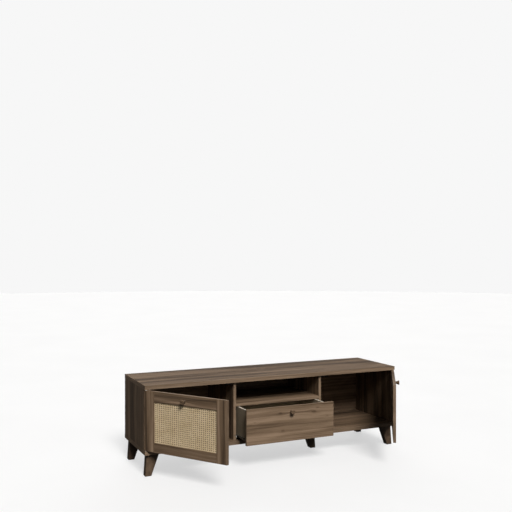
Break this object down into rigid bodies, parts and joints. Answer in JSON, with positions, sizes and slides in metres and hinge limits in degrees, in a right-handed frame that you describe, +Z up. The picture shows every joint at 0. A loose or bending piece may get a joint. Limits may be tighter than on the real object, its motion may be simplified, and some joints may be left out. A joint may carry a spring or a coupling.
{
  "type": "tv stand with doors",
  "caption": "Low walnut television stand on splayed tapered legs, with cane-panelled side doors, a middle drawer on roller rails and an open niche above it.",
  "frame": {"origin": "on the floor, under the middle of the stand as it stands with its doors and drawer open", "axes": "+X to the right along the width, seen from the front; +Y from the front to the back; +Z up"},
  "size_m": [1.6, 0.8424, 0.49],
  "materials": {
    "walnut": "satin walnut foil on board",
    "leg_wood": "stained and lacquered",
    "turned_wood": "stained and lacquered",
    "bead_wood": "satin",
    "beech": "plain",
    "cane": "woven natural cane",
    "drawer_laminate": "matt laminate",
    "fibreboard": "matt printed",
    "steel": "plated",
    "zinc": "die cast, bronzed",
    "rail_enamel": "black, semi gloss",
    "nylon": "matt",
    "black_plastic": "matt",
    "brown_rubber": "soft matt"
  },
  "bodies": {
    "case": {"top_panel": "walnut", "bottom_panel": "walnut", "left_side": "walnut", "right_side": "walnut", "left_divider": "walnut", "right_divider": "walnut", "shelf": "walnut", "back_panel": "fibreboard", "front_left_leg": "leg_wood", "front_right_leg": "leg_wood", "rear_left_leg": "leg_wood", "rear_right_leg": "leg_wood", "middle_left_leg": "leg_wood", "middle_right_leg": "leg_wood", "leg_bolts": "zinc", "leg_inserts": "zinc", "foot_glides": "black_plastic", "case_dowels": "beech", "cam_locks": "zinc", "cam_bolts": "steel", "case_screws": "steel", "pivot_plates": "steel", "door_catches": "black_plastic", "front_bumpers": "brown_rubber", "cabinet_rails": "rail_enamel"},
    "left_door": {"left_door_hinge_stile": "walnut", "left_door_free_stile": "walnut", "left_door_top_rail": "walnut", "left_door_bottom_rail": "walnut", "left_door_cane": "cane", "left_door_beads": "bead_wood", "left_door_dowels": "beech", "left_door_bushes": "nylon", "left_door_strike": "steel", "left_door_knob": "turned_wood", "left_door_knob_screw": "steel"},
    "right_door": {"right_door_hinge_stile": "walnut", "right_door_free_stile": "walnut", "right_door_top_rail": "walnut", "right_door_bottom_rail": "walnut", "right_door_cane": "cane", "right_door_beads": "bead_wood", "right_door_dowels": "beech", "right_door_bushes": "nylon", "right_door_strike": "steel", "right_door_knob": "turned_wood", "right_door_knob_screw": "steel"},
    "drawer": {"drawer_front": "walnut", "drawer_left_side": "drawer_laminate", "drawer_right_side": "drawer_laminate", "drawer_back": "drawer_laminate", "drawer_bottom": "drawer_laminate", "drawer_knob": "turned_wood", "drawer_knob_screw": "steel", "drawer_dowels": "beech", "drawer_rails": "rail_enamel"},
    "front_left_roller_wheel": {"front_left_roller": "nylon"},
    "front_right_roller_wheel": {"front_right_roller": "nylon"},
    "rear_left_roller_wheel": {"rear_left_roller": "nylon"},
    "rear_right_roller_wheel": {"rear_right_roller": "nylon"}
  },
  "joints": [
    {"name": "left_door_hinge", "type": "hinge", "parent": "case", "child": "left_door", "pos_m": [-0.792, 0.00673, 0.305], "axis": [0, 0, -1], "range_deg": [-55.5, 54.5]},
    {"name": "right_door_hinge", "type": "hinge", "parent": "case", "child": "right_door", "pos_m": [0.792, 0.00673, 0.305], "axis": [0, 0, 1], "range_deg": [-55.5, 54.5]},
    {"name": "drawer_slide", "type": "slide", "parent": "case", "child": "drawer", "axis": [0, -1, 0], "range_m": [-0.14, 0.11]},
    {"name": "front_left_roller_spin", "type": "hinge", "parent": "case", "child": "front_left_roller_wheel", "pos_m": [-0.2611, 0.03423, 0.1589], "axis": [1, 0, 0], "continuous": true},
    {"name": "front_right_roller_spin", "type": "hinge", "parent": "case", "child": "front_right_roller_wheel", "pos_m": [0.2611, 0.03423, 0.1589], "axis": [1, 0, 0], "continuous": true},
    {"name": "rear_left_roller_spin", "type": "hinge", "parent": "drawer", "child": "rear_left_roller_wheel", "pos_m": [-0.2611, 0.21323, 0.1563], "axis": [1, 0, 0], "continuous": true},
    {"name": "rear_right_roller_spin", "type": "hinge", "parent": "drawer", "child": "rear_right_roller_wheel", "pos_m": [0.2611, 0.21323, 0.1563], "axis": [1, 0, 0], "continuous": true}
  ],
  "couplings": [
    {"joint": "front_left_roller_spin", "follows": "drawer_slide", "rad_per_m": 111.11},
    {"joint": "front_right_roller_spin", "follows": "drawer_slide", "rad_per_m": 111.11},
    {"joint": "rear_left_roller_spin", "follows": "drawer_slide", "rad_per_m": 111.11},
    {"joint": "rear_right_roller_spin", "follows": "drawer_slide", "rad_per_m": 111.11}
  ]
}
